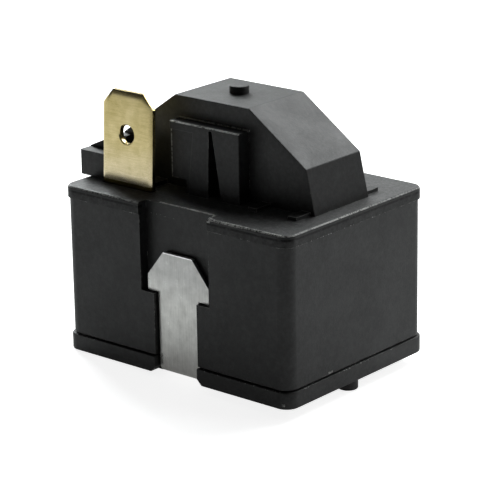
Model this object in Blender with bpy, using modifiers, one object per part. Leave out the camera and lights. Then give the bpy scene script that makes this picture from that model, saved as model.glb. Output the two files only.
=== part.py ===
"""Plug-on PTC start relay for a small refrigerator compressor, in metres.

The origin is the middle of the bottom cover's underside. X runs along the front face that
carries the spade terminal and the clip, Y runs from front to back, and Z is up.
"""
import bmesh
import bpy
from math import cos, pi, radians, sin, tan
from mathutils import Matrix, Vector

# Bottom cover
COVER_LENGTH = 0.0279
COVER_HEIGHT = 0.00165
CORNER_RADIUS = 0.0013
COVER_EDGE = 0.00012
PEG_DIAMETER = 0.00195
PEG_LENGTH = 0.0011
PEG_INSET = 0.00137
RIB_THICKNESS = 0.001
RIB_LENGTH = 0.011
RIB_HEIGHT = 0.0012

# Housing shell
SEAM = 0.00015
WALL_SETBACK = 0.00018
HOUSING_TOP = 0.0166
WALL = 0.0013
DECK = 0.0012
LIP_HEIGHT = 0.0012
LIP_PROUD = 0.00013
LIP_RADIUS = 0.0003
MOULDED_EDGE = 0.00012
SINK = 0.0005

# Thermistor disc and the hump that covers it
DISC_DIAMETER = 0.020
DISC_THICKNESS = 0.0026
DISC_LIFT = 0.0032
DISC_HEADROOM = 0.00118
HUMP_X = -0.00024
HUMP_WALL = 0.0012
HUMP_TOP_LENGTH = 0.00904
DISC_SIDE_ROOM = 0.00005
HUMP_SLOPE = radians(35)
HUMP_DRAFT = 0.0011
NUB_DIAMETER = 0.00188
NUB_HEIGHT = 0.00077

# Left shoulder, ledge and step behind the tab
OVERHANG = 0.00122
SHOULDER_PROUD = 0.00095
SHOULDER_RISE = 0.00247
SHOULDER_SINK = 0.00012
SHOULDER_REAR_STEP = 0.0005
LEDGE_HEIGHT = 0.0024
LEDGE_SETBACK = 0.00004
LEDGE_PAST_CORNER = 0.0011
STEP_HEIGHT = 0.00046
STEP_SHORT_OF_TAB = 0.0008

# Guide block on the hump's front
GUIDE_LENGTH = 0.00855
GUIDE_DEPTH = 0.0015
GUIDE_HEIGHT = 0.00685
GUIDE_FOOT_GAP = 0.0013
GUIDE_PANEL_LENGTH = 0.00236
GUIDE_PANEL_TAPER = 0.0006
GUIDE_PANEL_DEPTH = 0.00025
GUIDE_PANEL_TOP = 0.0008
GUIDE_TOP_BAR = 0.00028
GROOVE_FROM_RIGHT = 0.00363
GROOVE_TOP_WIDTH = 0.00036
GROOVE_LEFT_SPREAD = 0.00022
GROOVE_RIGHT_SPREAD = 0.00107

# Low ribs across the housing's top
TOP_RIB_STARTS = (0.00578, 0.01048)
TOP_RIB_WIDTH = 0.00102
TOP_RIB_HEIGHT = 0.00034
TOP_RIB_FRONT = 0.00206
TOP_RIB_REAR = 0.00205

# Retaining clip and the recesses that it lies in
CLIP_X = 0.00019
CLIP_THICKNESS = 0.0004
CLIP_GAP = 0.00015
CLIP_INSET = 0.00062
CLIP_BEND = 0.0006
STEM_WIDTH = 0.005
HEAD_TOP_WIDTH = 0.0036
BARB_WIDTH = 0.0076
BARB_HEIGHT = 0.0016
HEAD_HEIGHT = 0.0041
BARB_RADIUS = 0.0002
RECESS_WIDTH = 0.0085
RECESS_LEDGE = 0.0079
LEDGE_FALL = 0.00005
RECESS_BACKING = 0.001
NOTCH_FLARE = 0.0006

# Spade terminal
TAB_FROM_LEFT = 0.0056
TAB_FROM_FRONT = 0.0035
TAB_WIDTH = 0.0063
TAB_THICKNESS = 0.0008
TAB_HEIGHT = 0.00921
TAB_CLEARANCE = 0.00008
TAB_TILT = radians(2.7)
TIP_CHAMFER_WIDTH = 0.0012
TIP_CHAMFER_HEIGHT = 0.00139
TIP_COIN_WIDTH = 0.00072
CORNER_COIN_WIDTH = 0.00055
SIDE_COIN_WIDTH = 0.00042
COIN_DEPTH = 0.0002
TAB_HOLE_DIAMETER = 0.00184
TAB_HOLE_FROM_TIP = 0.00415
TAB_HOLE_LAND = 0.0005
TAB_HOLE_FLARE = 0.0002
TAB_HOLE_ROLL = 0.00009
SHOULDER_WIDTH = 0.007
SHOULDER_HEIGHT = 0.002
SHOULDER_CHAMFER = 0.0004
LEG_WIDTH = 0.004

# Pin sockets, contact springs and rivets
PIN_PITCH = 0.014
SOCKET_BORE = 0.0031
SOCKET_THICKNESS = 0.0004
SOCKET_TO_DISC = 0.00102
FLAG_HEIGHT = 0.0034
FLAG_BASE = 0.007
FLAG_PAST_RIVET = 0.0018
SLIT_ANGLE = radians(215)
RING_THICKNESS = 0.0003
RING_HEIGHT = 0.003
RING_LIFT = 0.0015
RING_GAP = 0.00015
RING_OPENING = radians(70)
LEAF_WIDTH = 0.0036
LEAF_THICKNESS = 0.00025
LEAF_TOP = 0.0207
LEAF_KNEE_RISE = 0.0021
LEAF_BOW = 0.00068
RIVET_HOLE = 0.0016
RIVET_SHANK = 0.0013
RIVET_HEAD = 0.0026
RIVET_HEAD_HEIGHT = 0.0004
RIVET_GAP = 0.0001
PIN_HOLE_CLEARANCE = 0.00035
COUNTERSINK = 0.0005
SADDLE_LENGTH = 0.006
SADDLE_WALL = 0.0009
SADDLE_HEIGHT = 0.0028
GAP = 0.0003

# Sizes that follow from those above; the width is the stack from the disc out to the front
SOCKET_RADIUS = (SOCKET_BORE + SOCKET_THICKNESS) / 2
SOCKET_DY = DISC_THICKNESS / 2 + SOCKET_TO_DISC + SOCKET_THICKNESS / 2 + SOCKET_RADIUS
SOCKET_DX = ((PIN_PITCH / 2) ** 2 - SOCKET_DY ** 2) ** 0.5
FLAG_FRONT = -SOCKET_DY - SOCKET_RADIUS - SOCKET_THICKNESS / 2
TAB_BACK = FLAG_FRONT - GAP
TAB_Y = TAB_BACK - TAB_THICKNESS / 2
TAB_X = TAB_FROM_LEFT - COVER_LENGTH / 2
COVER_WIDTH = 2 * (TAB_FROM_FRONT - TAB_Y)
BODY_LENGTH = COVER_LENGTH - 2 * WALL_SETBACK
BODY_WIDTH = COVER_WIDTH - 2 * WALL_SETBACK
BODY_BASE = COVER_HEIGHT + SEAM
DECK_UNDERSIDE = HOUSING_TOP - DECK
DISC_RADIUS = DISC_DIAMETER / 2
DISC_Z = DISC_LIFT + DISC_RADIUS
SOCKET_BASE = COVER_HEIGHT + GAP
RIVET_Z = FLAG_BASE + FLAG_HEIGHT / 2
LEAF_ROOM = 2 * GAP + LEAF_THICKNESS + LEAF_BOW
HUMP_HALF_DEPTH = DISC_THICKNESS / 2 + LEAF_ROOM + HUMP_WALL
HUMP_SHOULDER_LENGTH = DISC_DIAMETER + 2 * (DISC_SIDE_ROOM + HUMP_WALL)
HUMP_FRONT = -HUMP_HALF_DEPTH
HUMP_REAR = HUMP_HALF_DEPTH
HUMP_TOP = DISC_Z + DISC_RADIUS + DISC_HEADROOM + HUMP_WALL
HUMP_SHOULDER_TOP = HUMP_TOP - (HUMP_SHOULDER_LENGTH - HUMP_TOP_LENGTH) / 2 * tan(HUMP_SLOPE)
LEDGE_FRONT = TAB_BACK + TAB_CLEARANCE
SHOULDER_FRONT = HUMP_FRONT - SHOULDER_PROUD
RECESS_DEPTH = CLIP_INSET + CLIP_THICKNESS + CLIP_GAP
CHANNEL_WIDTH = STEM_WIDTH + 2 * CLIP_GAP

ARC_STEPS = 8
ROUND_STEPS = 32
RIVET_STEPS = 16
BOW_STEPS = 12
WELD = 0.000001
SHARP = radians(30)

PLANES = {
    "XY": Matrix.Identity(4),
    "XZ": Matrix.Rotation(pi / 2, 4, "X"),
    "YZ": Matrix(((0, 0, 1, 0), (1, 0, 0, 0), (0, 1, 0, 0), (0, 0, 0, 1))),
}
NORMALS = {"XY": (0, 0, 1), "XZ": (0, 1, 0), "YZ": (1, 0, 0)}
AXES = {
    "XY": Matrix.Identity(4),
    "XZ": Matrix.Rotation(-pi / 2, 4, "X"),
    "YZ": Matrix.Rotation(pi / 2, 4, "Y"),
}


def clear_objects():
    for item in list(bpy.data.objects):
        bpy.data.objects.remove(item)


def make_collection(name):
    group = bpy.data.collections.new(name)
    bpy.context.scene.collection.children.link(group)
    return group


clear_objects()
PARTS = make_collection("compressor_start_relay")
CUTTERS = make_collection("cutters")


def linear(value):
    if value <= 0.04045:
        return value / 12.92
    return ((value + 0.055) / 1.055) ** 2.4


def material(name, colour, roughness, metallic=0.0):
    """One Principled material from an sRGB hex colour."""
    channels = [linear(int(colour[i:i + 2], 16) / 255) for i in (0, 2, 4)]
    made = bpy.data.materials.new(name)
    made.use_nodes = True
    shader = made.node_tree.nodes["Principled BSDF"]
    shader.inputs["Base Color"].default_value = (*channels, 1)
    shader.inputs["Roughness"].default_value = roughness
    shader.inputs["Metallic"].default_value = metallic
    return made


def arc(centre, radius, start, end, steps=ARC_STEPS):
    """Points along an arc, both ends included."""
    angles = [start + (end - start) * i / steps for i in range(steps + 1)]
    return [(centre[0] + radius * cos(a), centre[1] + radius * sin(a)) for a in angles]


def circle(centre, radius, steps=ROUND_STEPS):
    return arc(centre, radius, 0, 2 * pi * (steps - 1) / steps, steps - 1)


def rounded_rectangle(length, width, radius):
    x = length / 2 - radius
    y = width / 2 - radius
    corners = [(x, y, 0), (-x, y, 1), (-x, -y, 2), (x, -y, 3)]
    outline = []
    for centre_x, centre_y, quarter in corners:
        outline += arc((centre_x, centre_y), radius, quarter * pi / 2, (quarter + 1) * pi / 2)
    return outline


def strip(path, thickness):
    """The closed outline of a bent sheet, from its middle line."""
    left = []
    right = []
    for i, (u, v) in enumerate(path):
        before = path[max(i - 1, 0)]
        after = path[min(i + 1, len(path) - 1)]
        run = (after[0] - before[0], after[1] - before[1])
        size = (run[0] ** 2 + run[1] ** 2) ** 0.5
        side = (-run[1] / size * thickness / 2, run[0] / size * thickness / 2)
        left.append((u + side[0], v + side[1]))
        right.append((u - side[0], v - side[1]))
    return left + right[::-1]


def add_object(name, mesh, collection):
    item = bpy.data.objects.new(name, mesh)
    collection.objects.link(item)
    if collection == CUTTERS:
        item.hide_render = True
        item.display_type = "WIRE"
    return item


def clean(mesh):
    """Weld the caps to the walls and join the triangles of each flat face."""
    work = bmesh.new()
    work.from_mesh(mesh)
    bmesh.ops.remove_doubles(work, verts=work.verts, dist=WELD)
    bmesh.ops.dissolve_limit(work, angle_limit=radians(0.5), verts=work.verts, edges=work.edges)
    bmesh.ops.recalc_face_normals(work, faces=work.faces)
    work.to_mesh(mesh)
    work.free()


def bake(item):
    """The object's shape with its modifiers, as a mesh in its own frame."""
    bpy.context.view_layer.update()
    return bpy.data.meshes.new_from_object(item.evaluated_get(bpy.context.evaluated_depsgraph_get()))


def prism(name, outline, plane, near, far, collection=CUTTERS, holes=()):
    """A flat outline, with holes, extruded between two stations across its plane."""
    curve = bpy.data.curves.new(name, "CURVE")
    curve.dimensions = "2D"
    curve.fill_mode = "BOTH"
    curve.extrude = (far - near) / 2
    for loop in (outline, *holes):
        spline = curve.splines.new("POLY")
        spline.points.add(len(loop) - 1)
        spline.use_cyclic_u = True
        for point, (u, v) in zip(spline.points, loop):
            point.co = (u, v, 0, 1)
    guide = bpy.data.objects.new(name, curve)
    bpy.context.scene.collection.objects.link(guide)
    mesh = bake(guide)
    middle = [(near + far) / 2 * axis for axis in NORMALS[plane]]
    mesh.transform(Matrix.Translation(middle) @ PLANES[plane])
    bpy.data.objects.remove(guide)
    clean(mesh)
    mesh.name = name
    return add_object(name, mesh, collection)


def block(name, x_span, y_span, z_span, collection=CUTTERS):
    work = bmesh.new()
    bmesh.ops.create_cube(work, size=1)
    spans = (x_span, y_span, z_span)
    size = [high - low for low, high in spans]
    middle = [(high + low) / 2 for low, high in spans]
    bmesh.ops.transform(work, matrix=Matrix.Translation(middle) @ Matrix.Diagonal((*size, 1)),
                        verts=work.verts)
    mesh = bpy.data.meshes.new(name)
    work.to_mesh(mesh)
    work.free()
    return add_object(name, mesh, collection)


def rod(name, plane, centre, radii, near, far, collection=CUTTERS, steps=ROUND_STEPS):
    """A cylinder or cone across a plane, its two radii given at the near and far stations."""
    work = bmesh.new()
    sides = radii[::-1] if plane == "XZ" else radii
    bmesh.ops.create_cone(work, cap_ends=True, segments=steps, radius1=sides[0], radius2=sides[1],
                          depth=far - near)
    u, v = centre
    across = (near + far) / 2
    place = {"XY": (u, v, across), "XZ": (u, across, v), "YZ": (across, u, v)}[plane]
    bmesh.ops.transform(work, matrix=Matrix.Translation(place) @ PLANES[plane], verts=work.verts)
    mesh = bpy.data.meshes.new(name)
    work.to_mesh(mesh)
    work.free()
    return add_object(name, mesh, collection)


def turned(name, profile, plane, centre, collection=CUTTERS, steps=ROUND_STEPS):
    """A profile of (radius, station) points turned about an axis across a plane."""
    work = bmesh.new()
    points = [work.verts.new((radius, 0, station)) for radius, station in profile]
    for start, end in zip(points, points[1:]):
        work.edges.new((start, end))
    mesh = bpy.data.meshes.new(name)
    work.to_mesh(mesh)
    work.free()
    guide = add_object(name, mesh, CUTTERS)
    screw = guide.modifiers.new("turn", "SCREW")
    screw.steps = steps
    screw.render_steps = steps
    screw.use_merge_vertices = True
    screw.merge_threshold = WELD
    mesh = bake(guide)
    bpy.data.objects.remove(guide)
    u, v = centre
    place = {"XY": (u, v, 0), "XZ": (u, 0, v), "YZ": (0, u, v)}[plane]
    mesh.transform(Matrix.Translation(place) @ AXES[plane])
    clean(mesh)
    mesh.name = name
    return add_object(name, mesh, collection)


def soften(item, radius, segments=2, above=None):
    """Round the sharp edges, or only those that lie above a height."""
    bevel = item.modifiers.new("rounded edges", "BEVEL")
    bevel.width = radius
    bevel.segments = segments
    bevel.use_clamp_overlap = True
    if above is None:
        bevel.limit_method = "ANGLE"
        bevel.angle_limit = SHARP
        return item
    work = bmesh.new()
    work.from_mesh(item.data)
    weights = work.edges.layers.float.new("bevel_weight_edge")
    for edge in work.edges:
        high = all(vertex.co.z > above for vertex in edge.verts)
        if high and edge.calc_face_angle(0) > SHARP:
            edge[weights] = 1
    work.to_mesh(item.data)
    work.free()
    bevel.limit_method = "WEIGHT"
    return item


def combine(item, other, operation):
    change = item.modifiers.new(other.name, "BOOLEAN")
    change.operation = operation
    change.object = other
    change.solver = "EXACT"
    other.parent = item


def add(item, *others):
    for other in others:
        combine(item, other, "UNION")


def cut(item, *others):
    for other in others:
        combine(item, other, "DIFFERENCE")


def finish(item, finish_material, location=(0, 0, 0), turn=0.0):
    """Fix the modelled shape, shade it, colour it and put it in its place."""
    mesh = bake(item)
    item.modifiers.clear()
    for child in list(item.children):
        bpy.data.objects.remove(child)
    item.data = mesh
    mesh.name = item.name
    clean(mesh)
    mesh.shade_smooth()
    mesh.set_sharp_from_angle(angle=SHARP)
    mesh.materials.clear()
    mesh.materials.append(finish_material)
    item.location = location
    item.rotation_euler = (0, 0, turn)
    return item


def again(item, name, location, turn):
    """A second copy of a stamped piece, sharing the first one's mesh."""
    copy = add_object(name, item.data, PARTS)
    copy.location = location
    copy.rotation_euler = (0, 0, turn)
    return copy


def clip_recess(name, front):
    """The T-shaped recess with the ledge that the clip's barbs snap over."""
    half = CHANNEL_WIDTH / 2
    wide = RECESS_WIDTH / 2
    above = HOUSING_TOP + LIP_HEIGHT
    outer_ledge = RECESS_LEDGE + LEDGE_FALL
    outline = [(-half, 0), (half, 0), (half, RECESS_LEDGE), (wide, outer_ledge), (wide, above),
               (-wide, above), (-wide, outer_ledge), (-half, RECESS_LEDGE)]
    outline = [(CLIP_X + x, z) for x, z in outline]
    floor = COVER_WIDTH / 2 - RECESS_DEPTH
    if front:
        return prism(name, outline, "XZ", -COVER_WIDTH, -floor)
    return prism(name, outline, "XZ", floor, COVER_WIDTH)


def shell_cavity():
    """The room inside the walls, stepped in behind the two clip recesses."""
    x = BODY_LENGTH / 2 - WALL
    y = BODY_WIDTH / 2 - WALL
    boss = COVER_WIDTH / 2 - RECESS_DEPTH - RECESS_BACKING
    left = CLIP_X - RECESS_WIDTH / 2 - RECESS_BACKING
    right = CLIP_X + RECESS_WIDTH / 2 + RECESS_BACKING
    outline = [(-x, -y), (left, -y), (left, -boss), (right, -boss), (right, -y), (x, -y),
               (x, y), (right, y), (right, boss), (left, boss), (left, y), (-x, y)]
    return prism("shell cavity", outline, "XY", 0, DECK_UNDERSIDE)


def hump_outline(inset, foot):
    """The hump's outline seen from the front, drawn in by a wall's thickness."""
    top = HUMP_TOP_LENGTH / 2 - inset * tan(HUMP_SLOPE / 2)
    side = HUMP_SHOULDER_LENGTH / 2 - inset
    high = HUMP_TOP - inset
    corner = high - (side - top) * tan(HUMP_SLOPE)
    spread = HUMP_DRAFT if inset == 0 else 0
    half = [(side + spread, foot), (side, corner), (top, high)]
    return [(HUMP_X + x, z) for x, z in half] + [(HUMP_X - x, z) for x, z in half[::-1]]


def hump_slot():
    outline = hump_outline(HUMP_WALL, DECK_UNDERSIDE - DECK)
    room = DISC_THICKNESS / 2 + LEAF_ROOM
    return prism("hump slot", outline, "XZ", -room, room)


def left_shoulder():
    """The wall before the hump's left end with its ramped top, and the ledge at its front."""
    outer = -COVER_LENGTH / 2 - OVERHANG
    corner = HUMP_X - HUMP_SHOULDER_LENGTH / 2
    inner = corner + LEDGE_PAST_CORNER
    foot = HOUSING_TOP - SHOULDER_SINK
    top = HUMP_SHOULDER_TOP - SHOULDER_SINK
    outline = [(outer, foot), (inner, foot), (inner, top), (corner, top),
               (outer, HOUSING_TOP + SHOULDER_RISE)]
    front = LEDGE_FRONT + LEDGE_SETBACK
    piece = prism("left shoulder", outline, "XZ", front, HUMP_REAR - SHOULDER_REAR_STEP)
    soften(piece, MOULDED_EDGE)
    cut(piece, block("above the ledge", (outer - OVERHANG, inner + OVERHANG),
                     (front - OVERHANG, SHOULDER_FRONT),
                     (HOUSING_TOP + LEDGE_HEIGHT, HUMP_TOP)))
    return piece


def tab_step():
    inner = HUMP_X - HUMP_SHOULDER_LENGTH / 2
    right = TAB_X + TAB_WIDTH / 2 - STEP_SHORT_OF_TAB
    return block("step behind the tab", (inner - HUMP_WALL, right),
                 (LEDGE_FRONT + 2 * LEDGE_SETBACK, HUMP_FRONT + HUMP_WALL / 2),
                 (HOUSING_TOP - SINK, HOUSING_TOP + STEP_HEIGHT))


def guide_block():
    """Two legs with a V between them, under a bar, and a thinner panel at the left."""
    right = GUIDE_LENGTH / 2
    left = -right
    foot = HOUSING_TOP - SINK
    top = HOUSING_TOP + GUIDE_HEIGHT
    front = HUMP_FRONT - GUIDE_DEPTH
    rear = HUMP_FRONT + HUMP_WALL / 2
    piece = block("guide block", (left, right), (front, rear), (foot, top))
    soften(piece, MOULDED_EDGE)
    apex = top - GUIDE_TOP_BAR
    groove_left = right - GROOVE_FROM_RIGHT
    groove_right = groove_left + GROOVE_TOP_WIDTH
    below = foot - SINK
    flare = (apex - below) / (apex - HOUSING_TOP)
    groove_outline = [(groove_left - GROOVE_LEFT_SPREAD * flare, below),
                      (groove_right + GROOVE_RIGHT_SPREAD * flare, below),
                      (groove_right, apex), (groove_left, apex)]
    panel = left + GUIDE_PANEL_LENGTH
    panel_foot = HOUSING_TOP + GUIDE_FOOT_GAP
    panel_top = top - GUIDE_PANEL_TOP
    panel_outline = [(left - GUIDE_DEPTH, below), (panel, below), (panel, panel_foot),
                     (panel + GUIDE_PANEL_TAPER, panel_top), (left - GUIDE_DEPTH, panel_top)]
    cut(piece, prism("guide groove", groove_outline, "XZ", front - GUIDE_DEPTH, rear + GUIDE_DEPTH),
        block("below the panel", (left - GUIDE_DEPTH, panel - SINK), (front - GUIDE_DEPTH, rear + SINK),
              (below, panel_foot)),
        prism("guide panel", panel_outline, "XZ", front - GUIDE_DEPTH, front + GUIDE_PANEL_DEPTH))
    return piece


def housing(plastic):
    box = rounded_rectangle(BODY_LENGTH, BODY_WIDTH, CORNER_RADIUS)
    piece = prism("housing", box, "XY", BODY_BASE, HOUSING_TOP - LIP_HEIGHT / 2, PARTS)
    rim = rounded_rectangle(BODY_LENGTH + 2 * LIP_PROUD, BODY_WIDTH + 2 * LIP_PROUD, CORNER_RADIUS)
    lip = prism("lip", rim, "XY", HOUSING_TOP - LIP_HEIGHT, HOUSING_TOP)
    soften(lip, LIP_RADIUS, 3, above=HOUSING_TOP - LIP_HEIGHT / 2)
    add(piece, lip)
    cut(piece, shell_cavity(), clip_recess("front recess", True), clip_recess("rear recess", False))
    tab_half = TAB_WIDTH / 2 + TAB_CLEARANCE
    depth = TAB_THICKNESS / 2 + TAB_CLEARANCE
    cut(piece, block("tab slot", (TAB_X - tab_half, TAB_X + tab_half), (TAB_Y - depth, TAB_Y + depth),
                     (DECK_UNDERSIDE - DECK, HOUSING_TOP + DECK)))
    outline = hump_outline(0, HOUSING_TOP - SINK)
    hump = soften(prism("hump", outline, "XZ", HUMP_FRONT, HUMP_REAR), MOULDED_EDGE)
    add(piece, hump, left_shoulder(), tab_step(), guide_block())
    for number, start in enumerate(TOP_RIB_STARTS):
        add(piece, block(f"top rib {number}", (start, start + TOP_RIB_WIDTH),
                         (HUMP_FRONT - TOP_RIB_FRONT, HUMP_REAR + TOP_RIB_REAR),
                         (HOUSING_TOP - SINK, HOUSING_TOP + TOP_RIB_HEIGHT)))
    nub = rod("nub", "XY", (HUMP_X, 0), (NUB_DIAMETER / 2,) * 2, HUMP_TOP - SINK,
              HUMP_TOP + NUB_HEIGHT)
    add(piece, soften(nub, MOULDED_EDGE))
    cut(piece, hump_slot())
    return finish(piece, plastic)


def cover_notch():
    """The clip's way through the rim, flared at the underside, and the groove that joins both."""
    half = CHANNEL_WIDTH / 2
    top = COVER_HEIGHT + RIB_HEIGHT
    outline = [(-half - NOTCH_FLARE, -NOTCH_FLARE), (half + NOTCH_FLARE, -NOTCH_FLARE),
               (half + NOTCH_FLARE, 0), (half, NOTCH_FLARE), (half, top), (-half, top),
               (-half, NOTCH_FLARE), (-half - NOTCH_FLARE, 0)]
    outline = [(CLIP_X + x, z) for x, z in outline]
    floor = COVER_WIDTH / 2 - RECESS_DEPTH
    return (prism("front notch", outline, "XZ", -COVER_WIDTH, -floor),
            prism("rear notch", outline, "XZ", floor, COVER_WIDTH),
            block("clip groove", (CLIP_X - half, CLIP_X + half), (-COVER_WIDTH, COVER_WIDTH),
                  (-NOTCH_FLARE, CLIP_THICKNESS + CLIP_GAP)))


def disc_saddle():
    """Two cheeks and a floor that hold the thermistor disc's lower edge."""
    half = SADDLE_LENGTH / 2
    depth = DISC_THICKNESS / 2 + GAP + SADDLE_WALL
    saddle = block("saddle", (HUMP_X - half, HUMP_X + half), (-depth, depth),
                   (COVER_HEIGHT - SINK, COVER_HEIGHT + SADDLE_HEIGHT))
    soften(saddle, MOULDED_EDGE)
    seat = DISC_THICKNESS / 2 + GAP
    cut(saddle, rod("disc seat", "XZ", (HUMP_X, DISC_Z), (DISC_RADIUS + GAP,) * 2,
                    -seat, seat, steps=2 * ROUND_STEPS))
    return saddle


def pin_places():
    """Where the two compressor pins enter: run in front, start behind."""
    return ((HUMP_X + SOCKET_DX, -SOCKET_DY), (HUMP_X - SOCKET_DX, SOCKET_DY))


def bottom_cover(plastic):
    outline = rounded_rectangle(COVER_LENGTH, COVER_WIDTH, CORNER_RADIUS)
    piece = prism("bottom_cover", outline, "XY", 0, COVER_HEIGHT, PARTS)
    soften(piece, COVER_EDGE)
    reach = BODY_LENGTH / 2 - WALL - GAP
    for side in (-1, 1):
        span = sorted((side * reach, side * (reach - RIB_THICKNESS)))
        add(piece, block(f"locating rib {side}", span, (-RIB_LENGTH / 2, RIB_LENGTH / 2),
                         (COVER_HEIGHT - SINK, COVER_HEIGHT + RIB_HEIGHT)))
    add(piece, disc_saddle())
    peg = rod("peg", "XY", (COVER_LENGTH / 2 - PEG_INSET, 0), (PEG_DIAMETER / 2,) * 2,
              -PEG_LENGTH, SINK)
    add(piece, soften(peg, MOULDED_EDGE))
    cut(piece, *cover_notch())
    hole = SOCKET_BORE / 2 + PIN_HOLE_CLEARANCE
    profile = [(0, -COUNTERSINK), (hole + 2 * COUNTERSINK, -COUNTERSINK), (hole, COUNTERSINK),
               (hole, 2 * COVER_HEIGHT), (0, 2 * COVER_HEIGHT)]
    for number, place in enumerate(pin_places()):
        cut(piece, turned(f"pin hole {number}", profile, "XY", place))
    return finish(piece, plastic)


def retaining_clip(steel):
    """A folded strip, cut to the arrow-headed outline that both its arms share."""
    face = COVER_WIDTH / 2 - CLIP_INSET - CLIP_THICKNESS / 2
    low = CLIP_THICKNESS / 2
    barb = RECESS_LEDGE + CLIP_GAP / 3
    high = barb + HEAD_HEIGHT
    bend = face - CLIP_BEND
    path = [(-face, high), *arc((-bend, low + CLIP_BEND), CLIP_BEND, pi, 1.5 * pi),
            *arc((bend, low + CLIP_BEND), CLIP_BEND, 1.5 * pi, 2 * pi), (face, high)]
    piece = prism("retaining_clip", strip(path, CLIP_THICKNESS), "YZ", CLIP_X - BARB_WIDTH,
                  CLIP_X + BARB_WIDTH, PARTS)
    stem = STEM_WIDTH / 2
    wide = BARB_WIDTH / 2
    round_foot = arc((wide - BARB_RADIUS, barb + BARB_RADIUS), BARB_RADIUS, -pi / 2, 0, 3)
    half = [(stem, -COVER_HEIGHT), (stem, barb + LEDGE_FALL), *round_foot, (wide, barb + BARB_HEIGHT),
            (HEAD_TOP_WIDTH / 2, high)]
    outline = [(CLIP_X + x, z) for x, z in half] + [(CLIP_X - x, z) for x, z in half[::-1]]
    combine(piece, prism("clip outline", outline, "XZ", -COVER_WIDTH, COVER_WIDTH), "INTERSECT")
    return finish(piece, steel)


def coin_cutter(name, start, end, side, width):
    """A wedge that bevels one face of the sheet along one edge of its outline."""
    run = (Vector((end[0] - start[0], 0, end[1] - start[1]))).normalized()
    out = Vector((0, side, 0)).cross(run) * side
    face = TAB_THICKNESS / 2
    inner = (-2 * width, face + COIN_DEPTH)
    outer = (width, face - 2 * COIN_DEPTH)
    wedge = prism(name, [inner, outer, (width, face + COIN_DEPTH)], "XY", -TAB_THICKNESS,
                  TAB_THICKNESS + (Vector(end) - Vector(start)).length)
    frame = Matrix((out, (0, side, 0), run)).transposed().to_4x4()
    wedge.data.transform(Matrix.Translation((start[0], 0, start[1])) @ frame)
    clean(wedge.data)
    return wedge


def fold_back(mesh, height, angle):
    """Bend all that lies above a height towards the rear, about a line along X."""
    work = bmesh.new()
    work.from_mesh(mesh)
    line = (0, 0, height)
    bmesh.ops.bisect_plane(work, geom=[*work.verts, *work.edges, *work.faces], plane_co=line,
                           plane_no=(0, 0, 1), dist=WELD)
    above = [vertex for vertex in work.verts if vertex.co.z > height]
    bmesh.ops.rotate(work, cent=line, matrix=Matrix.Rotation(-angle, 3, "X"), verts=above)
    work.to_mesh(mesh)
    work.free()


def spade_terminal(brass):
    """The tab with its coined edges, on the shoulders and leg that stay inside the housing.

    Its own origin is where the tab leaves the housing's top.
    """
    half = TAB_WIDTH / 2
    wide = SHOULDER_WIDTH / 2
    narrow = LEG_WIDTH / 2
    top = -DECK - GAP
    waist = top - SHOULDER_HEIGHT
    end = FLAG_BASE - HOUSING_TOP
    chamfer_foot = TAB_HEIGHT - TIP_CHAMFER_HEIGHT
    right = [(narrow, end), (narrow, waist), (wide, waist + SHOULDER_CHAMFER),
             (wide, top - SHOULDER_CHAMFER), (half, top), (half, chamfer_foot),
             (half - TIP_CHAMFER_WIDTH, TAB_HEIGHT)]
    outline = right + [(-x, z) for x, z in right[::-1]]
    rivet_hole = circle((0, RIVET_Z - HOUSING_TOP), RIVET_HOLE / 2, RIVET_STEPS)
    piece = prism("spade_terminal", outline, "XZ", -TAB_THICKNESS / 2, TAB_THICKNESS / 2, PARTS,
                  holes=[rivet_hole])
    tab = [(half, -DECK / 2), (half, chamfer_foot), (half - TIP_CHAMFER_WIDTH, TAB_HEIGHT),
           (TIP_CHAMFER_WIDTH - half, TAB_HEIGHT), (-half, chamfer_foot), (-half, -DECK / 2)]
    widths = [SIDE_COIN_WIDTH, CORNER_COIN_WIDTH, TIP_COIN_WIDTH, CORNER_COIN_WIDTH, SIDE_COIN_WIDTH]
    for number, (start, stop, width) in enumerate(zip(tab, tab[1:], widths)):
        for side in (-1, 1):
            cut(piece, coin_cutter(f"coin {number} {side}", start, stop, side, width))
    eye = (0, TAB_HEIGHT - TAB_HOLE_FROM_TIP)
    bore = TAB_HOLE_DIAMETER / 2
    face = TAB_THICKNESS / 2
    land = TAB_HOLE_LAND - face
    spread = TAB_HOLE_FLARE / (face - land)
    profile = [(0, -2 * face), (bore + TAB_HOLE_ROLL + face, -2 * face), (bore + TAB_HOLE_ROLL, -face),
               (bore, TAB_HOLE_ROLL - face), (bore, land),
               (bore + spread * (2 * face - land), 2 * face), (0, 2 * face)]
    cut(piece, turned("tab hole", profile, "XZ", eye))
    finish(piece, brass, (TAB_X, TAB_Y, HOUSING_TOP))
    fold_back(piece.data, -DECK / 2, TAB_TILT)
    return piece


def ptc_disc(ceramic):
    piece = rod("ptc_disc", "XZ", (0, 0), (DISC_RADIUS, DISC_RADIUS), -DISC_THICKNESS / 2,
                DISC_THICKNESS / 2, PARTS, 2 * ROUND_STEPS)
    soften(piece, MOULDED_EDGE)
    return finish(piece, ceramic, (HUMP_X, 0, DISC_Z))


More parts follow.
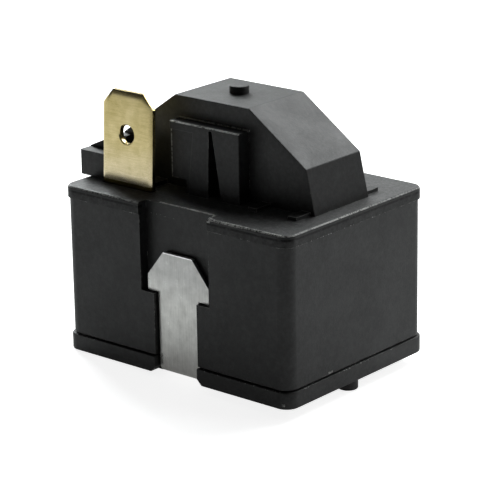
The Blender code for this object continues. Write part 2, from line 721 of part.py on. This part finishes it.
def sockets(brass):
    """One stamping used twice: a flag that runs into a rolled sleeve round the pin."""
    radius = SOCKET_RADIUS
    reach = HUMP_X + SOCKET_DX - TAB_X + FLAG_PAST_RIVET
    sleeve_height = FLAG_BASE + FLAG_HEIGHT - SOCKET_BASE
    path = [(-reach, -radius), *arc((0, 0), radius, -pi / 2, SLIT_ANGLE, 3 * ARC_STEPS)]
    piece = prism("run_socket", strip(path, SOCKET_THICKNESS), "XY", 0, sleeve_height, PARTS)
    cut(piece, block("below the flag", (-2 * reach, 0), (-2 * radius, -radius + SOCKET_THICKNESS),
                     (-SOCKET_THICKNESS, FLAG_BASE - SOCKET_BASE)))
    rivet = RIVET_Z - SOCKET_BASE
    for number, x in enumerate((TAB_X - HUMP_X - SOCKET_DX, -SOCKET_DX)):
        cut(piece, rod(f"rivet hole {number}", "XZ", (x, rivet), (RIVET_HOLE / 2,) * 2,
                       -2 * radius, 0, steps=RIVET_STEPS))
    run, start = pin_places()
    finish(piece, brass, (*run, SOCKET_BASE))
    again(piece, "start_socket", (*start, SOCKET_BASE), pi)


def socket_springs(steel):
    radius = SOCKET_RADIUS + SOCKET_THICKNESS / 2 + RING_GAP + RING_THICKNESS / 2
    path = arc((0, 0), radius, -2 * pi + SLIT_ANGLE + RING_OPENING, SLIT_ANGLE, 3 * ARC_STEPS)
    piece = prism("run_socket_spring", strip(path, RING_THICKNESS), "XY", 0, RING_HEIGHT, PARTS)
    run, start = pin_places()
    finish(piece, steel, (*run, SOCKET_BASE + RING_LIFT))
    again(piece, "start_socket_spring", (*start, SOCKET_BASE + RING_LIFT), pi)


def contact_springs(steel):
    """Leaves riveted to the flags, bowed so that each presses on one face of the disc."""
    foot = FLAG_FRONT + SOCKET_THICKNESS + GAP + LEAF_THICKNESS / 2
    back = -DISC_THICKNESS / 2 - LEAF_ROOM + GAP + LEAF_THICKNESS / 2
    crest = -DISC_THICKNESS / 2 - GAP - LEAF_THICKNESS / 2
    knee = FLAG_BASE + FLAG_HEIGHT
    rise = knee + LEAF_KNEE_RISE
    bow = [(back + (crest - back) * sin(pi * i / BOW_STEPS), rise + (LEAF_TOP - rise) * i / BOW_STEPS)
           for i in range(BOW_STEPS + 1)]
    path = [(foot, FLAG_BASE), (foot, knee), *bow]
    piece = prism("run_contact_spring", strip(path, LEAF_THICKNESS), "YZ", -LEAF_WIDTH / 2,
                  LEAF_WIDTH / 2, PARTS)
    cut(piece, rod("leaf rivet hole", "XZ", (0, RIVET_Z), (RIVET_HOLE / 2,) * 2,
                   foot - LEAF_THICKNESS, foot + LEAF_THICKNESS, steps=RIVET_STEPS))
    finish(piece, steel, (HUMP_X, 0, 0))
    again(piece, "start_contact_spring", (HUMP_X, 0, 0), pi)


def rivet(name, grip, metal, location):
    """A turned rivet along Y: shank and two heads."""
    shank = RIVET_SHANK / 2
    head = RIVET_HEAD / 2
    inner = grip / 2 + RIVET_GAP
    outer = inner + RIVET_HEAD_HEIGHT
    half = [(shank, inner), (head, inner), (head - RIVET_GAP, outer), (0, outer)]
    profile = [(radius, -station) for radius, station in half[::-1]] + half
    piece = turned(name, profile, "XZ", (0, 0), PARTS, RIVET_STEPS)
    return finish(piece, metal, location)


def rivets(brass):
    terminal_grip = TAB_THICKNESS + GAP + SOCKET_THICKNESS
    terminal_y = TAB_Y - TAB_THICKNESS / 2 + terminal_grip / 2
    rivet("run_terminal_rivet", terminal_grip, brass, (TAB_X, terminal_y, RIVET_Z))
    spring_grip = SOCKET_THICKNESS + GAP + LEAF_THICKNESS
    offset = -FLAG_FRONT - spring_grip / 2
    rivet("run_spring_rivet", spring_grip, brass, (HUMP_X, -offset, RIVET_Z))
    rivet("start_spring_rivet", spring_grip, brass, (HUMP_X, offset, RIVET_Z))


def build():
    plastic = material("black moulded plastic", "1a1a1b", 0.38)
    cover_plastic = material("black cover plastic", "1b1b1c", 0.4)
    clip_steel = material("stainless clip strip", "b4b4b2", 0.3, 1.0)
    brass = material("brass sheet", "c4b184", 0.3, 1.0)
    spring_steel = material("spring steel", "9a9a98", 0.3, 1.0)
    ceramic = material("thermistor ceramic", "8d8b86", 0.6)
    housing(plastic)
    bottom_cover(cover_plastic)
    retaining_clip(clip_steel)
    spade_terminal(brass)
    ptc_disc(ceramic)
    sockets(brass)
    socket_springs(spring_steel)
    contact_springs(spring_steel)
    rivets(brass)


build()
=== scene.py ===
"""Plug-on compressor start relay: black moulded housing, steel clip and brass spade tab."""
from math import radians

import bmesh
import bpy
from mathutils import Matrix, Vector


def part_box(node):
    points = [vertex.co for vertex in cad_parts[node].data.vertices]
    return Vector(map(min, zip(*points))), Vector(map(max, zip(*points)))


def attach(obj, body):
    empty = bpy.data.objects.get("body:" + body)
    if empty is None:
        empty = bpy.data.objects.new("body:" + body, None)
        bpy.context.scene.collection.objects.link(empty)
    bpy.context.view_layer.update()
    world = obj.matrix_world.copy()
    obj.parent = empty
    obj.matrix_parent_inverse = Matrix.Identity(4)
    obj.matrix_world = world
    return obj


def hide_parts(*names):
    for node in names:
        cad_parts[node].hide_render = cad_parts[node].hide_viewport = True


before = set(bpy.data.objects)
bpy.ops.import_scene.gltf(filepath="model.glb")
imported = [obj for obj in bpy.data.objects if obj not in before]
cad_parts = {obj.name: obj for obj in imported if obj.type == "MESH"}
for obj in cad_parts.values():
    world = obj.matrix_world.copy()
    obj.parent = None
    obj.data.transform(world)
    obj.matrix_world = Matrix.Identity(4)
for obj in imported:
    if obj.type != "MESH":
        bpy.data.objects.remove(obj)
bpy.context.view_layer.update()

MM = 0.001

# Kinds of node that are used more than once
BUMP = "ShaderNodeBump"
COORDINATES = "ShaderNodeTexCoord"
LIGHT_PATH = "ShaderNodeLightPath"
MAP_RANGE = "ShaderNodeMapRange"
MATH = "ShaderNodeMath"
MIX = "ShaderNodeMix"
SPLIT = "ShaderNodeSeparateXYZ"
VECTOR_MATH = "ShaderNodeVectorMath"

# Camera, fitted to the photograph's straight edges
CAMERA_PLACE = Vector((143.76, -168.07, 81.92)) * MM
CAMERA_TURN = [radians(angle) for angle in (72.135, 0.935, 40.239)]
FOCAL_PIXELS = 2422.26
FRAME_PIXELS = 488
SENSOR_MM = 36
NEAREST_METRES = 0.01
FARTHEST_METRES = 10

# The relay rests on its peg and on the far bottom edge, so the floor is slightly tilted
FLOOR_HIGH_X = -13.95
PEG_X = 12.58
PEG_FOOT = -1.1
FLOOR_REACH = 1500
FLOOR_TONE = "e6e6e6"
FLOOR_ROUGHNESS = 0.7

# What the floor adds to its own light where the camera or a reflection sees it
CAMERA_LIFT = 0.85
MIRROR_LIFT = 0.15

# Strength of the surroundings, and how far forward or back along Y each side of them reaches
BRIGHT_SIDE = 0.1
DARK_SIDE = 0.035
BRIGHT_FROM = 0.55
DARK_UP_TO = -0.35

# Lights: place and size in millimetres, power in watts, and tint
AIM = Vector((0, 0, 12)) * MM
PLAIN = (1, 1, 1)
COOL = (0.95, 1, 1)
LIGHTS = (("softbox above and behind", (40, 290, 280), (260, 160), 0.98, (0.975, 1, 1)),
          ("strip above the left", (-300, -150, 370), (80, 260), 0.05, PLAIN),
          ("softbox overhead, behind", (-120, 200, 380), (200, 200), 0.61, COOL),
          ("softbox at the far left", (-340, 195, 230), (150, 150), 1.0, COOL),
          ("lit backdrop", (-230, 330, 110), (560, 220), 0.35, PLAIN),
          ("fill at the right", (300, 250, 200), (200, 200), 0.17, PLAIN))

# Levels on the housing and the cover: height, half height and fade in millimetres
DECK_TOP = 16.6
DECK = (DECK_TOP, 0.02, 0.02)
LIP_RIM = (16.45, 0.25, 0.02)
LIP_BAND = (15.8, 0.4, 0.1)
LIP_LINE = (16.12, 0.04, 0.12)
LIP_FLASH = (15.4, 0.0, 0.09)
COVER_FLASH = (1.6, 0.0, 0.09)

# The rounded rim is painted pale where its normal points this far up, as rubbing and as a painted highlight
# on its crest, with the reach and fade of that
RIM_FACING = (0.62, 0.06, 0.13)

# Boxes in which an edge is painted palest, partly as rubbing and partly as a painted highlight line: middle
# and half sizes in millimetres, and how pale it is
WEAR_AND_HIGHLIGHT_SPOTS = {
    "guide, top front": ((0, -5.53, 23.45), (4.4, 0.16, 0.12), 1.0),
    "guide, top at the hump": ((0, -4.05, 23.45), (4.4, 0.14, 0.1), 0.6),
    "guide, left front": ((-4.28, -5.28, 19.9), (0.14, 0.16, 3.1), 0.55),
    "clip recess, deck side": ((0.9, -9.07, 16.6), (3.4, 0.14, 0.14), 1.0),
    "clip recess, right corner": ((4.55, -10.2, 16.45), (0.28, 0.3, 0.22), 0.8),
    "clip recess, right side": ((4.4, -9.4, 16.5), (0.16, 0.3, 0.2), 0.7),
    "front lip, right of the recess": ((6.7, -10.25, 16.5), (1.9, 0.22, 0.09), 0.9),
    "front lip, right end": ((11, -10.25, 16.54), (2.4, 0.22, 0.05), 0.8),
    "front lip, left": ((-9, -10.25, 16.5), (4.6, 0.2, 0.06), 0.4),
    "cover, front right corner": ((13.2, -10.3, 0.45), (0.13, 0.3, 0.13), 1.0),
    "cover, right seam": ((13.9, -4.1, 1.95), (0.2, 0.3, 0.1), 0.8),
}

# Boxes in which every sharp edge is painted pale, given in the same way: a painted highlight line on the
# guide's front, and painted light on the rib tops, which lie in shade
EDGE_WEAR_AND_LIGHT_BOXES = {
    "guide, front": ((0, -5.4, 20.2), (4.5, 0.3, 3.4), 0.1),
    "left rib": ((6.29, -5.1, 16.9), (0.6, 1.15, 0.16), 0.45),
    "right rib": ((10.99, -5.1, 16.9), (0.6, 1.15, 0.16), 0.45),
}

# Inside this box, middle and half sizes in millimetres, the housing's walls stand back from its lip
BEHIND_LIP = ((0, 0, 0), (13.4, 9.8, 30))

# Moulded nylon: tones, and how much of its shine the lip keeps under painted shade
NYLON_BLACK = "060606"
FIBRE_GREY = "202020"
DECK_DUST_AND_LIGHT_GREY = "484848"
# The pale grey below is painted on edges: partly rubbing, partly painted highlight
WEAR_AND_HIGHLIGHT_GREY = "b4b4b0"
FULL_SHINE = "ffffff"
BAND_SHINE = "c0c0c0"
LINE_SHINE = "606060"
NYLON_IOR = 1.5
NYLON_ROUGHNESS = 0.5
NYLON_SPREAD = 0.03

# Its patterns: size in millimetres, drawn as coarse as it needs to show, and the noise that shows
FLOW_CLOUD = dict(size=3.0, start=0.3, end=0.7, low=-0.04, high=0.05, detail=4)
SKIN_GRAIN = dict(size=0.2, start=0.3, end=0.7)
FIBRE_MOTTLE = dict(size=0.5, start=0.42, end=0.68, detail=5, roughness=0.75)
DECK_MOTTLE = dict(size=0.4, start=0.42, end=0.66, low=0.1, high=1.0, detail=5, roughness=0.8)
WEAR_AND_HIGHLIGHT_LENGTH = dict(size=2.2, start=0.5, end=0.64, low=0.03, high=0.8)
WEAR_AND_HIGHLIGHT_GAP = dict(size=0.3, start=0.4, end=0.62, detail=3, roughness=0.7)
WEAR_AND_HIGHLIGHT_DOT = dict(size=0.28, start=0.38, end=0.54, detail=3, roughness=0.7)
RIM_LENGTH = dict(size=3.0, start=0.4, end=0.6, low=0.5, high=1.0)
BAND_SHADE_PATCHES = dict(size=0.6, start=0.3, end=0.62, detail=5, roughness=0.7)
LINE_GAP = dict(size=0.5, start=0.35, end=0.5)
FLASH_CRUMB = dict(size=0.22, start=0.6, end=0.66)
FLASH_LENGTH = dict(size=4.0, start=0.48, end=0.6, detail=1)

# Reliefs: strength, and depth in millimetres
SKIN_RELIEF = (0.5, 0.008)
ROLLED_RELIEF = (0.3, 0.0015)

# A sharp edge: how far round it the normal is smoothed, in millimetres, and the cosines of the
# smoothed normal's turn between which the edge fades in
EDGE_REACH = 0.1
EDGE_SAMPLES = 8
EDGE_TURN = (0.99, 0.9)

# Rolled metals: how the lines are drawn out, their patterns, and the share of cloud over line
UP = (1, 1, 0.04)
ACROSS = (0.05, 1, 1)
ROLLED_LINE = dict(start=0.3, end=0.7, detail=4)
HANDLED_CLOUD = dict(start=0.32, end=0.68, detail=5, roughness=0.65)
CLOUD_SHARE = 0.6
ROLLED_SPREAD = (0.07, -0.05)

# Marks on them: height, half height and fade in millimetres, and tone; a painted highlight along the clip's
# top edge and a painted shadow at the tab's foot
CLIP_TOP_PAINTED_HIGHLIGHT = (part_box("retaining_clip")[1][2] / MM, 0.1, 0.05, "ffffff")
TAB_FOOT_PAINTED_SHADOW = (DECK_TOP, 0.38, 0.08, "80703c")

# Fired ceramic
CERAMIC_SPECK = dict(size=0.3, start=0.35, end=0.65, detail=3)
CERAMIC_ROUGHNESS = 0.6

# Easing of a dressed piece's edges: radii and weld in millimetres, angles in degrees
MOULDED_RADIUS = 0.06
CLIP_RADIUS = 0.09
TAB_RADIUS = 0.03
EDGE_SEGMENTS = 3
EDGE_ANGLE = 28
FLAT_ANGLE = 0.5
WELD = 0.001


def linear(value):
    if value <= 0.04045:
        return value / 12.92
    return ((value + 0.055) / 1.055) ** 2.4


def colour(code):
    """An sRGB hex colour as linear RGBA."""
    return (*[linear(int(code[i:i + 2], 16) / 255) for i in (0, 2, 4)], 1)


def add_node(tree, kind, inputs=None, output=None, **settings):
    """Add a node and return an output of it; each input takes a value, or the output that feeds it."""
    made = tree.nodes.new(kind)
    for name, value in settings.items():
        setattr(made, name, value)
    for name, value in (inputs or {}).items():
        if isinstance(value, bpy.types.NodeSocket):
            tree.links.new(value, made.inputs[name])
        else:
            made.inputs[name].default_value = value
    if output:
        return made.outputs[output]
    return next(socket for socket in made.outputs if socket.enabled)


def new_material(name):
    made = bpy.data.materials.new(name)
    made.use_nodes = True
    return made, made.node_tree, made.node_tree.nodes["Principled BSDF"]


def grains(tree, place, size, start, end, low=0.0, high=1.0, detail=2, roughness=0.6):
    """Grains up to this many millimetres across, with noise from start to end made low to high."""
    noise = add_node(tree, "ShaderNodeTexNoise", {"Vector": place, "Scale": 1 / (size * MM),
                                                  "Detail": detail, "Roughness": roughness})
    return add_node(tree, MAP_RANGE, {"Value": noise, "From Min": start, "From Max": end,
                                      "To Min": low, "To Max": high})


def near(tree, value, middle, reach, fade):
    """1 where the value is within reach of the middle, fading to 0 over the rest of the way."""
    away = add_node(tree, MATH, {0: value, 1: middle}, operation="SUBTRACT")
    away = add_node(tree, MATH, {0: away}, operation="ABSOLUTE")
    return add_node(tree, MAP_RANGE, {"Value": away, "From Min": reach, "From Max": reach + fade,
                                      "To Min": 1.0, "To Max": 0.0})


def at_height(tree, height, level, half, fade):
    """1 within half of a level, fading to 0, all in millimetres."""
    return near(tree, height, level * MM, half * MM, fade * MM)


def inside(tree, place, middle, half):
    """1 inside a box given in millimetres by its middle and half sizes, 0 outside it."""
    away = add_node(tree, VECTOR_MATH, {0: place, 1: Vector(middle) * MM}, operation="SUBTRACT")
    away = add_node(tree, VECTOR_MATH, {0: away, 1: Vector(half) * MM}, operation="DIVIDE")
    away = add_node(tree, VECTOR_MATH, {0: away}, operation="ABSOLUTE")
    most, *others = (add_node(tree, SPLIT, {"Vector": away}, output=axis) for axis in "XYZ")
    for share in others:
        most = add_node(tree, MATH, {0: most, 1: share}, operation="MAXIMUM")
    return add_node(tree, MATH, {0: most, 1: 1.0}, operation="LESS_THAN")


def wear_and_highlight_in_boxes(tree, place, wear_and_highlight, boxes, mask):
    """The wear and painted highlights, joined by the mask's own inside each box, as pale as the box says.
    """
    for middle, half, strength in boxes.values():
        zone = inside(tree, place, middle, half)
        for share in (strength, mask):
            zone = add_node(tree, MATH, {0: zone, 1: share}, operation="MULTIPLY")
        wear_and_highlight = add_node(tree, MATH, {0: wear_and_highlight, 1: zone}, operation="MAXIMUM")
    return wear_and_highlight


def moulded_skin(tree, shader, place):
    """Satin skin with flow clouding and fine relief; returns its colour, mottled by the glass fibre."""
    cloud = grains(tree, place, **FLOW_CLOUD)
    grain = grains(tree, place, **SKIN_GRAIN)
    shine = add_node(tree, MAP_RANGE, {"Value": grain, "To Min": NYLON_ROUGHNESS + NYLON_SPREAD,
                                       "To Max": NYLON_ROUGHNESS - NYLON_SPREAD})
    shine = add_node(tree, MATH, {0: cloud, 1: shine}, operation="ADD")
    tree.links.new(shine, shader.inputs["Roughness"])
    shader.inputs["IOR"].default_value = NYLON_IOR
    strength, depth = SKIN_RELIEF
    relief = add_node(tree, BUMP, {"Height": grain, "Strength": strength, "Distance": depth * MM})
    tree.links.new(relief, shader.inputs["Normal"])
    mottle = grains(tree, place, **FIBRE_MOTTLE)
    return add_node(tree, MIX, {"Factor": mottle, "A": colour(NYLON_BLACK), "B": colour(FIBRE_GREY)},
                    data_type="RGBA")


def sharp_edges(tree, facing):
    """1 along sharp edges, where a rounded normal turns away from the face's own."""
    rounded = add_node(tree, "ShaderNodeBevel", {"Radius": EDGE_REACH * MM}, samples=EDGE_SAMPLES)
    turn = add_node(tree, VECTOR_MATH, {0: rounded, 1: facing}, "Value", operation="DOT_PRODUCT")
    start, full = EDGE_TURN
    return add_node(tree, MAP_RANGE, {"Value": turn, "From Min": start, "From Max": full})


def rim_wear_and_highlight(tree, place, facing, height, dots):
    """Rubbed dots all along the lip's rounded rim, with some lengths rubbed bare, painted pale also as a
    highlight on the crest.
    """
    upwards = add_node(tree, SPLIT, {"Vector": facing}, output="Z")
    crest = near(tree, upwards, *RIM_FACING)
    rim = at_height(tree, height, *LIP_RIM)
    bare = grains(tree, place, **RIM_LENGTH)
    for mask in (rim, dots, bare):
        crest = add_node(tree, MATH, {0: crest, 1: mask}, operation="MULTIPLY")
    return crest


def lip_painted_shade(tree, place, height):
    """Painted shade on the lip: its band shines less than the walls, least of all in a ragged line under
    its rim.
    """
    behind = inside(tree, place, *BEHIND_LIP)
    shine = colour(FULL_SHINE)
    for level, pattern, tone in ((LIP_BAND, BAND_SHADE_PATCHES, BAND_SHINE), (LIP_LINE, LINE_GAP, LINE_SHINE)):
        mask = at_height(tree, height, *level)
        mask = add_node(tree, MATH, {0: mask, 1: grains(tree, place, **pattern)}, operation="MULTIPLY")
        mask = add_node(tree, MIX, {"Factor": behind, "A": mask, "B": 0.0}, data_type="FLOAT")
        shine = add_node(tree, MIX, {"Factor": mask, "A": shine, "B": colour(tone)}, data_type="RGBA")
    return shine


def moulded_plastic(name, flash, on_housing=False):
    """Glass-filled nylon, injection moulded: near black, satin and slightly grainy, edges painted pale as
    rubbing and as painted highlights.
    """
    made, tree, shader = new_material(name)
    place = add_node(tree, COORDINATES, output="Object")
    facing = add_node(tree, "ShaderNodeNewGeometry", output="Normal")
    height = add_node(tree, SPLIT, {"Vector": place}, output="Z")
    base = moulded_skin(tree, shader, place)
    # Sharp edges are painted pale in stretches, broken up by short gaps: partly rubbing, partly a painted
    # highlight where an edge catches the light
    edge = wear_and_highlight = sharp_edges(tree, facing)
    for pattern in (WEAR_AND_HIGHLIGHT_LENGTH, WEAR_AND_HIGHLIGHT_GAP):
        wear_and_highlight = add_node(tree, MATH, {0: wear_and_highlight, 1: grains(tree, place, **pattern)}, operation="MULTIPLY")
    dots = grains(tree, place, **WEAR_AND_HIGHLIGHT_DOT)
    wear_and_highlight = wear_and_highlight_in_boxes(tree, place, wear_and_highlight, WEAR_AND_HIGHLIGHT_SPOTS, dots)
    if on_housing:
        # The deck is mottled paler than the walls: a dusty mottle that is also painted light on the
        # upward-facing deck
        mottle = at_height(tree, height, *DECK)
        mottle = add_node(tree, MATH, {0: mottle, 1: grains(tree, place, **DECK_MOTTLE)},
                          operation="MULTIPLY")
        base = add_node(tree, MIX, {"Factor": mottle, "A": base, "B": colour(DECK_DUST_AND_LIGHT_GREY)}, data_type="RGBA")
        # Painted highlight on the rim's crest, and painted light on the guide and rib edges, joined to the
        # wear
        rim = rim_wear_and_highlight(tree, place, facing, height, dots)
        wear_and_highlight = add_node(tree, MATH, {0: wear_and_highlight, 1: rim}, operation="MAXIMUM")
        wear_and_highlight = wear_and_highlight_in_boxes(tree, place, wear_and_highlight, EDGE_WEAR_AND_LIGHT_BOXES, edge)
        # Painted shade: the lip's reflection is dimmed in its band and in a line under its rim
        tree.links.new(lip_painted_shade(tree, place, height), shader.inputs["Specular Tint"])
    # Crumbs of flash lie along the moulded line, in stretches, painted pale as highlight glints where they
    # catch the light
    flash_and_glints = at_height(tree, height, *flash)
    for pattern in (FLASH_CRUMB, FLASH_LENGTH):
        flash_and_glints = add_node(tree, MATH, {0: flash_and_glints, 1: grains(tree, place, **pattern)}, operation="MULTIPLY")
    # Wear, painted highlights and flash glints all take the pale grey
    for mask in (wear_and_highlight, flash_and_glints):
        base = add_node(tree, MIX, {"Factor": mask, "A": base, "B": colour(WEAR_AND_HIGHLIGHT_GREY)}, data_type="RGBA")
    tree.links.new(base, shader.inputs["Base Color"])
    return made


def rolled_metal(name, tones, roughness, lines, line_size, cloud_size, low_painted_light_tones=None, low_z=None,
                 marks=()):
    """Bright rolled strip: fine rolling lines under faint clouds of handling and tarnish.

    Its sizes and heights are in millimetres; the low tones, painted light, take over on the way down low_z.
    """
    made, tree, shader = new_material(name)
    shader.inputs["Metallic"].default_value = 1.0
    place = add_node(tree, COORDINATES, output="Object")
    height = add_node(tree, SPLIT, {"Vector": place}, output="Z")
    # Rolling lines run along the axis that the mapping squeezes, drawn as coarse as they need to show
    along = add_node(tree, "ShaderNodeMapping", {"Vector": place, "Scale": lines})
    rolled = grains(tree, along, line_size, **ROLLED_LINE)
    cloud = grains(tree, place, cloud_size, **HANDLED_CLOUD)
    both = add_node(tree, MIX, {"Factor": CLOUD_SHARE, "A": rolled, "B": cloud}, data_type="FLOAT")
    dark, bright = (colour(tone) for tone in tones)
    base = add_node(tree, MIX, {"Factor": both, "A": dark, "B": bright}, data_type="RGBA")
    if low_painted_light_tones:
        # Painted light: paler towards its foot, lifting the dim reflection there
        foot, top = low_z
        lower = add_node(tree, MAP_RANGE, {"Value": height, "From Min": top * MM, "From Max": foot * MM})
        dark, bright = (colour(tone) for tone in low_painted_light_tones)
        pale = add_node(tree, MIX, {"Factor": both, "A": dark, "B": bright}, data_type="RGBA")
        base = add_node(tree, MIX, {"Factor": lower, "A": base, "B": pale}, data_type="RGBA")
    # Each mark is a band painted at a height: the clip's painted highlight, the tab's painted shadow at its
    # foot
    for *level, tone in marks:
        mark = at_height(tree, height, *level)
        base = add_node(tree, MIX, {"Factor": mark, "A": base, "B": colour(tone)}, data_type="RGBA")
    tree.links.new(base, shader.inputs["Base Color"])
    dull, shiny = (roughness + change for change in ROLLED_SPREAD)
    shine = add_node(tree, MAP_RANGE, {"Value": both, "To Min": dull, "To Max": shiny})
    tree.links.new(shine, shader.inputs["Roughness"])
    strength, depth = ROLLED_RELIEF
    relief = add_node(tree, BUMP, {"Height": rolled, "Strength": strength, "Distance": depth * MM})
    tree.links.new(relief, shader.inputs["Normal"])
    return made


def fired_ceramic(name, dark_tone, tone):
    """Barium titanate disc: fired grey ceramic, dull and slightly speckled."""
    made, tree, shader = new_material(name)
    place = add_node(tree, COORDINATES, output="Object")
    speck = grains(tree, place, **CERAMIC_SPECK)
    base = add_node(tree, MIX, {"Factor": speck, "A": colour(dark_tone), "B": colour(tone)},
                    data_type="RGBA")
    tree.links.new(base, shader.inputs["Base Color"])
    shader.inputs["Roughness"].default_value = CERAMIC_ROUGHNESS
    return made


def dressed(node, finish, radius):
    """The node's own shape with its edges eased, standing in for it."""
    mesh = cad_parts[node].data.copy()
    work = bmesh.new()
    work.from_mesh(mesh)
    bmesh.ops.remove_doubles(work, verts=work.verts, dist=WELD * MM)
    bmesh.ops.dissolve_limit(work, angle_limit=radians(FLAT_ANGLE), verts=work.verts, edges=work.edges)
    work.to_mesh(mesh)
    work.free()
    piece = bpy.data.objects.new(f"{node}_finished", mesh)
    bpy.context.scene.collection.objects.link(piece)
    mesh.materials.clear()
    mesh.materials.append(finish)
    mesh.shade_smooth()
    bevel = piece.modifiers.new("eased edges", "BEVEL")
    bevel.width = radius * MM
    bevel.segments = EDGE_SEGMENTS
    bevel.limit_method = "ANGLE"
    bevel.angle_limit = radians(EDGE_ANGLE)
    weighted = piece.modifiers.new("flat faces stay flat", "WEIGHTED_NORMAL")
    weighted.keep_sharp = True
    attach(piece, "root")
    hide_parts(node)


def add_camera():
    data = bpy.data.cameras.new("photograph")
    data.sensor_width = SENSOR_MM
    data.lens = FOCAL_PIXELS / FRAME_PIXELS * SENSOR_MM
    data.clip_start = NEAREST_METRES
    data.clip_end = FARTHEST_METRES
    camera = bpy.data.objects.new("photograph", data)
    camera.location = CAMERA_PLACE
    camera.rotation_euler = CAMERA_TURN
    bpy.context.scene.collection.objects.link(camera)
    bpy.context.scene.camera = camera


def add_floor():
    """A plain pale floor that keeps a soft shadow and shows white to the camera."""
    tilt = PEG_FOOT / (PEG_X - FLOOR_HIGH_X)
    corners = [(-FLOOR_REACH, -FLOOR_REACH), (FLOOR_REACH, -FLOOR_REACH),
               (FLOOR_REACH, FLOOR_REACH), (-FLOOR_REACH, FLOOR_REACH)]
    points = [Vector((x, y, (x - FLOOR_HIGH_X) * tilt)) * MM for x, y in corners]
    mesh = bpy.data.meshes.new("floor")
    mesh.from_pydata(points, [], [(0, 1, 2, 3)])
    floor = bpy.data.objects.new("floor", mesh)
    bpy.context.scene.collection.objects.link(floor)
    made, tree, shader = new_material("white studio floor")
    shader.inputs["Base Color"].default_value = colour(FLOOR_TONE)
    shader.inputs["Roughness"].default_value = FLOOR_ROUGHNESS
    seen, glossy, through = (add_node(tree, LIGHT_PATH, output=ray)
                             for ray in ("Is Camera Ray", "Is Glossy Ray", "Is Transmission Ray"))
    seen = add_node(tree, MATH, {0: seen, 1: CAMERA_LIFT}, operation="MULTIPLY")
    mirrored = add_node(tree, MATH, {0: glossy, 1: through}, operation="MAXIMUM")
    mirrored = add_node(tree, MATH, {0: mirrored, 1: MIRROR_LIFT}, operation="MULTIPLY")
    lift = add_node(tree, MATH, {0: seen, 1: mirrored}, operation="ADD")
    shader.inputs["Emission Color"].default_value = colour("ffffff")
    tree.links.new(lift, shader.inputs["Emission Strength"])
    mesh.materials.append(made)


def add_light(name, place, size, power, tint):
    data = bpy.data.lights.new(name, "AREA")
    data.shape = "RECTANGLE"
    data.size, data.size_y = size[0] * MM, size[1] * MM
    data.energy = power
    data.color = tint
    light = bpy.data.objects.new(name, data)
    light.location = Vector(place) * MM
    light.rotation_euler = (AIM - light.location).to_track_quat("-Z", "Y").to_euler()
    bpy.context.scene.collection.objects.link(light)


def light_studio():
    """Softboxes above, behind and to the left, in dim surroundings that are darker at the camera's side."""
    world = bpy.data.worlds.new("white studio")
    bpy.context.scene.world = world
    world.use_nodes = True
    tree = world.node_tree
    back = tree.nodes["Background"]
    seen = add_node(tree, LIGHT_PATH, output="Is Camera Ray")
    direction = add_node(tree, COORDINATES, output="Generated")
    depth = add_node(tree, SPLIT, {"Vector": direction}, output="Y")
    fade = add_node(tree, MAP_RANGE, {"Value": depth, "From Min": DARK_UP_TO, "From Max": BRIGHT_FROM,
                                      "To Min": DARK_SIDE, "To Max": BRIGHT_SIDE},
                    interpolation_type="SMOOTHSTEP")
    strength = add_node(tree, MIX, {"Factor": seen, "A": fade, "B": 1.0}, data_type="FLOAT")
    tree.links.new(strength, back.inputs["Strength"])
    back.inputs["Color"].default_value = colour("ffffff")
    for light in LIGHTS:
        add_light(*light)


# Outer pieces
housing_nylon = moulded_plastic("moulded black glass-filled nylon", LIP_FLASH, on_housing=True)
cover_nylon = moulded_plastic("moulded black cover nylon", COVER_FLASH)
clip_steel = rolled_metal("rolled stainless spring strip", ("a6a6a4", "c6c6c4"), roughness=0.3,
                          lines=UP, line_size=0.08, cloud_size=1.2,
                          low_painted_light_tones=("c0c0bc", "e8e8e4"), low_z=(7, 10), marks=(CLIP_TOP_PAINTED_HIGHLIGHT,))
tab_brass = rolled_metal("rolled brass sheet", ("c3b171", "e9d8a4"), roughness=0.2,
                         lines=ACROSS, line_size=0.09, cloud_size=1.8,
                         low_painted_light_tones=("d8c99c", "f6e8ca"), low_z=(17, 21), marks=(TAB_FOOT_PAINTED_SHADOW,))
dressed("housing", housing_nylon, MOULDED_RADIUS)
dressed("bottom_cover", cover_nylon, MOULDED_RADIUS)
dressed("retaining_clip", clip_steel, CLIP_RADIUS)
dressed("spade_terminal", tab_brass, TAB_RADIUS)

# Inner pieces keep the shapes of the frame
spring_steel = rolled_metal("spring steel", ("a0a09d", "bcbcb9"), roughness=0.35,
                            lines=UP, line_size=0.08, cloud_size=1.5)
inner = {"ptc_disc": fired_ceramic("fired thermistor ceramic", "6f6d68", "8d8b86")}
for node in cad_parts:
    if "spring" in node and "rivet" not in node:
        inner[node] = spring_steel
    elif "socket" in node or "rivet" in node:
        inner[node] = tab_brass
for node, finish in inner.items():
    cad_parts[node].material_slots[0].material = finish

add_camera()
add_floor()
light_studio()
bpy.context.scene.view_settings.view_transform = "Standard"
